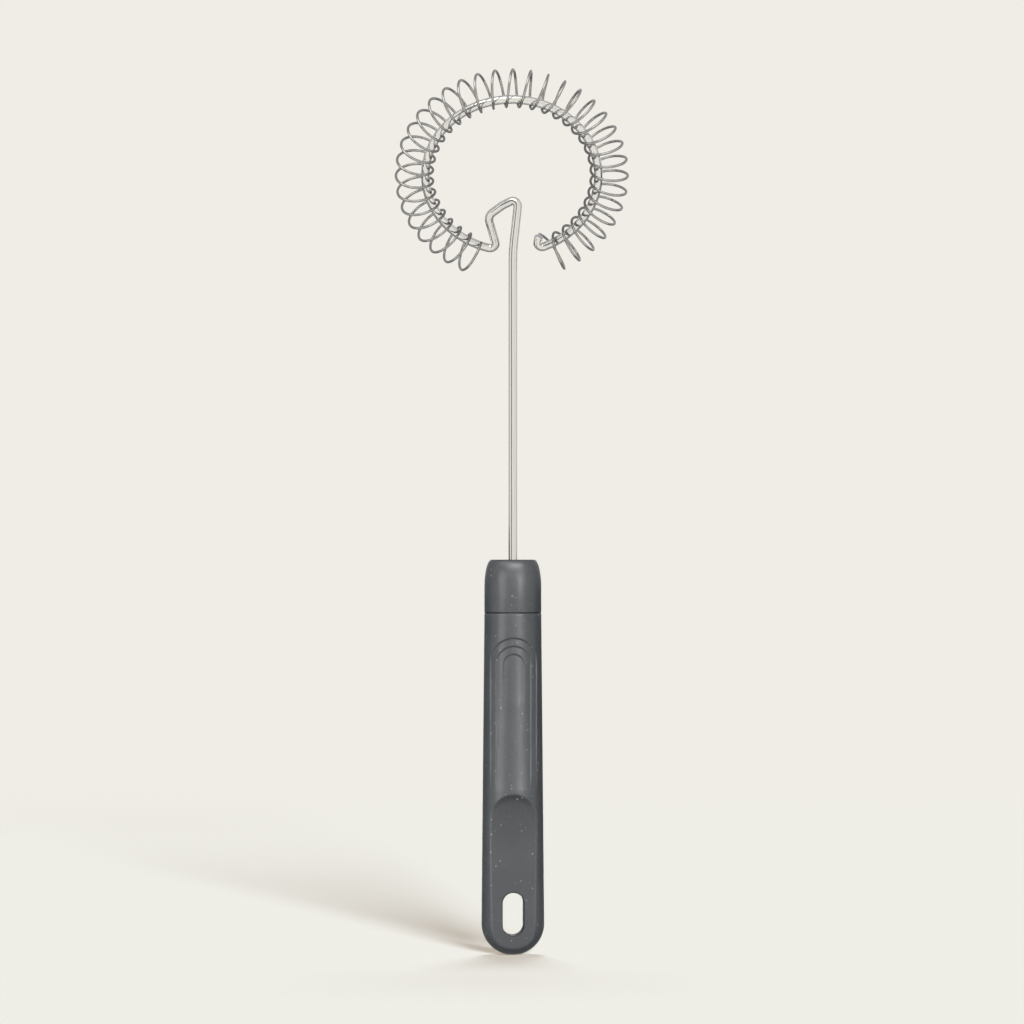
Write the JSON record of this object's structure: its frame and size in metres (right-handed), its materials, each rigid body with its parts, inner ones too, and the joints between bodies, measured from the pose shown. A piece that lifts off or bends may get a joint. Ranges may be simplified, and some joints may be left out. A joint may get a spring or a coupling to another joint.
{
  "type": "gravy whisk",
  "caption": "Hand whisk with a fine wire coil wound round a forward-leaning wire hoop, on a straight wire shank in a moulded handle with a hang slot.",
  "frame": {"origin": "centre of the hang slot through the handle's butt, in the middle of the handle's depth", "axes": "+Z along the handle and shank towards the coil head, -Y out of the handle's front with the recess, +X to the right seen from the front"},
  "size_m": [0.0701, 0.0393, 0.2643],
  "materials": {
    "handle_plastic": "matte slate grey with pale flecks",
    "frame_steel": "polished drawn wire",
    "coil_steel": "polished spring wire"
  },
  "bodies": {
    "handle_and_frame": {"handle_grip": "handle_plastic", "handle_collar": "handle_plastic", "frame_wire": "frame_steel"},
    "coil": {"whisk_coil": "coil_steel"}
  },
  "joints": [
    {"name": "coil_slide", "type": "hinge", "parent": "handle_and_frame", "child": "coil", "pos_m": [-0.0003, -0.00371, 0.22125], "axis": [0, -0.8616, -0.5075], "range_deg": [0, 6], "stiffness_Nm_per_rad": 0.02}
  ]
}
